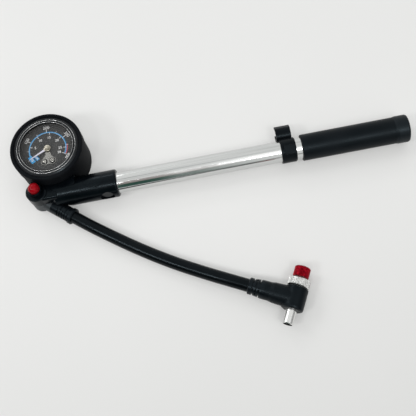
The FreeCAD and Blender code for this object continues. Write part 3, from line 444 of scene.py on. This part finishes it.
def text_mesh(name, words, size, place):
    """Mesh of a short generic number in Blender's own font."""
    data = bpy.data.curves.new(name, "FONT")
    data.body = words
    data.size = size
    data.align_x = "CENTER"
    data.align_y = "CENTER"
    data.offset = size * 0.02
    maker = bpy.data.objects.new(name, data)
    bpy.context.scene.collection.objects.link(maker)
    bpy.context.view_layer.update()
    mesh = bpy.data.meshes.new_from_object(maker.evaluated_get(bpy.context.evaluated_depsgraph_get()))
    bpy.data.objects.remove(maker)
    mesh.transform(place)
    return mesh


def joined(name, parts):
    """One mesh made of several."""
    build = bmesh.new()
    for part in parts:
        build.from_mesh(part)
    mesh = bpy.data.meshes.new(name)
    build.to_mesh(mesh)
    build.free()
    return mesh


def number_ring(name, labels, radius, size, upright):
    """Numbers round the dial; labels is a list of (text, angle)."""
    parts = []
    for words, degrees in labels:
        spot = on_dial(radius, degrees, PRINT)
        lean = 0 if upright else math.radians(degrees - 90)
        parts.append(text_mesh(name, words, size, Matrix.Translation(spot) @ Matrix.Rotation(lean, 4, "Z")))
    add_piece(name, joined(name, parts), "ink_white", "pump_body")


def scale_arcs():
    whole = arc_quads(SCALE_RADIUS, SCALE_WIDTH, dial_angle(0), dial_angle(1), steps=96, lift=PRINT)
    flat_piece("scale_arc", whole, "ink_blue")
    last = arc_quads(LIMIT_RADIUS, LIMIT_WIDTH, dial_angle(LIMIT_FROM), dial_angle(1), steps=20, lift=PRINT)
    flat_piece("limit_arc", last, "ink_red")


def outer_marks():
    """Long and short marks in turn; the last one is short."""
    marks = []
    for k in range(OUTER_MARKS + 1):
        is_long = k % 2 == 0
        reach = LONG_MARK if is_long and k < OUTER_MARKS else SHORT_MARK
        width = 0.5 * MM if is_long else 0.32 * MM
        marks.append(tick_quad(SCALE_RADIUS + MARK_START, SCALE_RADIUS + reach, dial_angle(k / OUTER_MARKS),
                               width, 2 * PRINT))
    return marks


def inner_marks():
    marks = []
    for value in (*INNER_VALUES, INNER_LAST):
        marks.append(tick_quad(SCALE_RADIUS - INNER_MARK, SCALE_RADIUS - MARK_START,
                               dial_angle(value / BAR_FULL), 0.45 * MM, 2 * PRINT))
    return marks


def fine_marks():
    marks = []
    for k in range(FINE_MARKS + 1):
        marks.append(tick_quad(SCALE_RADIUS - 0.6 * MM, SCALE_RADIUS + 0.1 * MM, dial_angle(k / FINE_MARKS),
                               0.14 * MM, 3 * PRINT))
    return marks


def scale_marks():
    flat_piece("scale_ticks", outer_marks() + inner_marks(), "ink_white")
    flat_piece("fine_ticks", fine_marks(), "ink_white")


def scale_numbers():
    outer = [(str(100 * k), dial_angle(k / 4)) for k in range(1, 4)]
    number_ring("outer_numbers", outer, OUTER_NUMBER_RADIUS, OUTER_NUMBER_SIZE, upright=False)
    last = [("400", dial_angle(1.0) - LAST_NUMBER_LEAD)]
    number_ring("last_number", last, LAST_NUMBER_RADIUS, LAST_NUMBER_SIZE, upright=False)
    inner = [(str(value), dial_angle(value / BAR_FULL)) for value in INNER_VALUES]
    inner.append(("28", dial_angle(1.0)))
    number_ring("inner_numbers", inner, INNER_NUMBER_RADIUS, INNER_NUMBER_SIZE, upright=True)


def unit_boxes():
    """Blue boxes with the two unit names at the zero end of the scale."""
    boxes = []
    words = []
    for text, radius, degrees, long_side, short_side in UNIT_BOXES:
        spot = on_dial(radius * MM, degrees, 3 * PRINT)
        turn = Matrix.Rotation(math.radians(degrees + 90), 4, "Z")
        half_w = long_side / 2 * MM
        half_h = short_side / 2 * MM
        corners = [(-half_w, -half_h), (half_w, -half_h), (half_w, half_h), (-half_w, half_h)]
        boxes.append([spot + turn @ Vector((x, y, 0)) for x, y in corners])
        lifted = Matrix.Translation(spot + Vector((0, 0, PRINT))) @ turn
        words.append(text_mesh("unit", text, short_side * 0.8 * MM, lifted))
    flat_piece("unit_boxes", boxes, "ink_blue")
    add_piece("unit_names", joined("unit_names", words), "ink_white", "pump_body")


def dial_print():
    scale_arcs()
    scale_marks()
    scale_numbers()
    unit_boxes()


def bezel_beads():
    """Two rings round the lens in pale metal: partly painted highlight, lighter than the black bezel so
    they show as bright lines all round, and partly real reflection of the lamps.
    """
    place = Matrix.Translation((GAUGE_X, GAUGE_Y, 0))
    for name, radius, half_width, half_height in BEZEL_RINGS:
        outline = bead_outline(radius * MM, LENS_TOP + BEZEL_RING_LIFT, half_width * MM, half_height * MM)
        lathe(name, outline, place, "bead", "pump_body")


# ---------------------------------------------------------------- stage
FLOOR_REACH = 3.0               # from the middle to each edge


def make_floor():
    """Pale table that glows with painted light, weaker near the front and stronger towards the back."""
    mesh = bpy.data.meshes.new("floor")
    build = bmesh.new()
    corners = [(-FLOOR_REACH, -FLOOR_REACH), (FLOOR_REACH, -FLOOR_REACH),
               (FLOOR_REACH, FLOOR_REACH), (-FLOOR_REACH, FLOOR_REACH)]
    build.faces.new([build.verts.new((x, y, 0)) for x, y in corners])
    build.to_mesh(mesh)
    build.free()
    floor = bpy.data.objects.new("floor", mesh)
    bpy.context.scene.collection.objects.link(floor)
    material, nodes, links, shader = new_material("white_table")
    broad = object_noise(nodes, links, 3.0, 3.0)
    links.new(two_colours(nodes, links, broad, (0.440, 0.440, 0.435), (0.450, 0.450, 0.445)),
              shader.inputs["Base Color"])
    shader.inputs["Roughness"].default_value = 0.7
    shader.inputs["Emission Color"].default_value = (1.0, 1.0, 0.99, 1)
    coords = nodes.new("ShaderNodeTexCoord")
    place = nodes.new("ShaderNodeSeparateXYZ")
    links.new(coords.outputs["Object"], place.inputs["Vector"])
    # Painted light: the table gives off its own glow, 0.10 at the front rising to 0.25 towards the back,
    # which also lightens the shadows under the pump.
    painted_glow = map_range(nodes, links, place.outputs["Y"], low=0.10, high=0.25, start=-0.36, end=-0.06)
    links.new(painted_glow, shader.inputs["Emission Strength"])
    mesh.materials.append(material)


def area_light(name, spot, target, size, power):
    data = bpy.data.lights.new(name, "AREA")
    data.shape = "RECTANGLE"
    data.size = size[0]
    data.size_y = size[1]
    data.energy = power
    light = bpy.data.objects.new(name, data)
    bpy.context.scene.collection.objects.link(light)
    light.location = spot
    light.rotation_euler = (Vector(target) - Vector(spot)).to_track_quat("-Z", "Y").to_euler()


def ramp_of(nodes, links, source, stops):
    """Colour ramp from (position, colour) stops."""
    ramp = nodes.new("ShaderNodeValToRGB")
    while len(ramp.color_ramp.elements) < len(stops):
        ramp.color_ramp.elements.new(0.5)
    for element, (position, colour) in zip(ramp.color_ramp.elements, stops):
        element.position = position
        element.color = (*colour, 1)
    links.new(source, ramp.inputs["Fac"])
    return ramp.outputs["Color"]


def grey(value):
    return (value, value, value)


def pale(value):
    """Grey with a very slight green cast."""
    return (value, value + 0.01, value)


def make_room():
    """Pale studio room, with the darker and brighter strips that polished metal shows."""
    world = bpy.data.worlds.new("studio")
    bpy.context.scene.world = world
    world.use_nodes = True
    nodes = world.node_tree.nodes
    links = world.node_tree.links
    coords = nodes.new("ShaderNodeTexCoord")
    parts = nodes.new("ShaderNodeSeparateXYZ")
    links.new(coords.outputs["Generated"], parts.inputs["Vector"])
    slope = nodes.new("ShaderNodeMath")
    slope.operation = "ARCTAN2"
    links.new(parts.outputs["Y"], slope.inputs[0])
    links.new(parts.outputs["Z"], slope.inputs[1])
    height = map_range(nodes, links, slope.outputs["Value"], low=0, high=1,
                       start=-math.pi / 2, end=math.pi / 2)
    left = ramp_of(nodes, links, height, [
        (0.00, (0.40, 0.41, 0.41)),
        (0.03, (0.05, 0.11, 0.09)),
        (0.13, (0.035, 0.09, 0.07)),
        (0.20, (0.05, 0.10, 0.08)),
        (0.225, (0.34, 0.30, 0.29)),
        (0.35, (0.42, 0.40, 0.39)),
        (0.37, pale(0.78)),
        (0.52, pale(0.80)),
        (0.53, (0.50, 0.51, 0.51)),
        (0.55, (0.50, 0.51, 0.51)),
        (0.56, pale(0.92)),
        (1.00, pale(0.95)),
    ])
    right = ramp_of(nodes, links, height, [
        (0.00, pale(0.30)),
        (0.045, pale(0.42)),
        (0.075, pale(0.90)),
        (0.19, pale(0.88)),
        (0.235, pale(0.95)),
        (0.26, pale(1.45)),
        (0.44, pale(1.45)),
        (0.475, pale(0.84)),
        (0.70, pale(0.84)),
        (0.77, pale(0.72)),
        (0.83, pale(0.88)),
        (1.00, pale(0.92)),
    ])
    across = map_range(nodes, links, parts.outputs["X"], low=0, high=1, start=-0.06, end=0.07)
    both = nodes.new("ShaderNodeMixRGB")
    links.new(across, both.inputs["Fac"])
    links.new(left, both.inputs["Color1"])
    links.new(right, both.inputs["Color2"])
    sideways = map_range(nodes, links, parts.outputs["X"], low=0, high=1, start=-1, end=1)
    strips = ramp_of(nodes, links, sideways, [
        (0.00, grey(0.75)),
        (0.170, grey(0.90)),
        (0.190, grey(0.35)),
        (0.255, grey(0.35)),
        (0.275, grey(1.0)),
        (0.850, grey(1.0)),
        (0.865, grey(0.30)),
        (0.975, grey(0.30)),
        (1.00, grey(0.50)),
    ])
    shaded = nodes.new("ShaderNodeMixRGB")
    shaded.blend_type = "MULTIPLY"
    shaded.inputs["Fac"].default_value = 1.0
    links.new(both.outputs["Color"], shaded.inputs["Color1"])
    links.new(strips, shaded.inputs["Color2"])
    links.new(shaded.outputs["Color"], nodes["Background"].inputs["Color"])


def make_lights():
    make_room()
    area_light("front_strip", (0.62, -1.7, 2.4), (0, 0, 0), size=(0.7, 0.6), power=16)
    area_light("left_window", (-1.8, -1.0, 2.2), (0, 0, 0), size=(0.5, 0.5), power=20)
    area_light("head_window", (-0.78, -1.46, 2.63), (-0.1, 0, 0), size=(0.35, 0.3), power=9)
    area_light("top_strip", (-0.93, 2.2, 1.65), (-0.14, 0, 0), size=(0.8, 0.5), power=7)
    area_light("back_window", (-1.98, 1.14, 1.92), (0, 0, 0), size=(0.9, 0.9), power=14)
    scene = bpy.context.scene
    scene.view_settings.view_transform = "Standard"
    scene.view_settings.look = "None"


make_camera()
make_hose()
paint_cad_nodes()
dial_print()
bezel_beads()
make_floor()
make_lights()
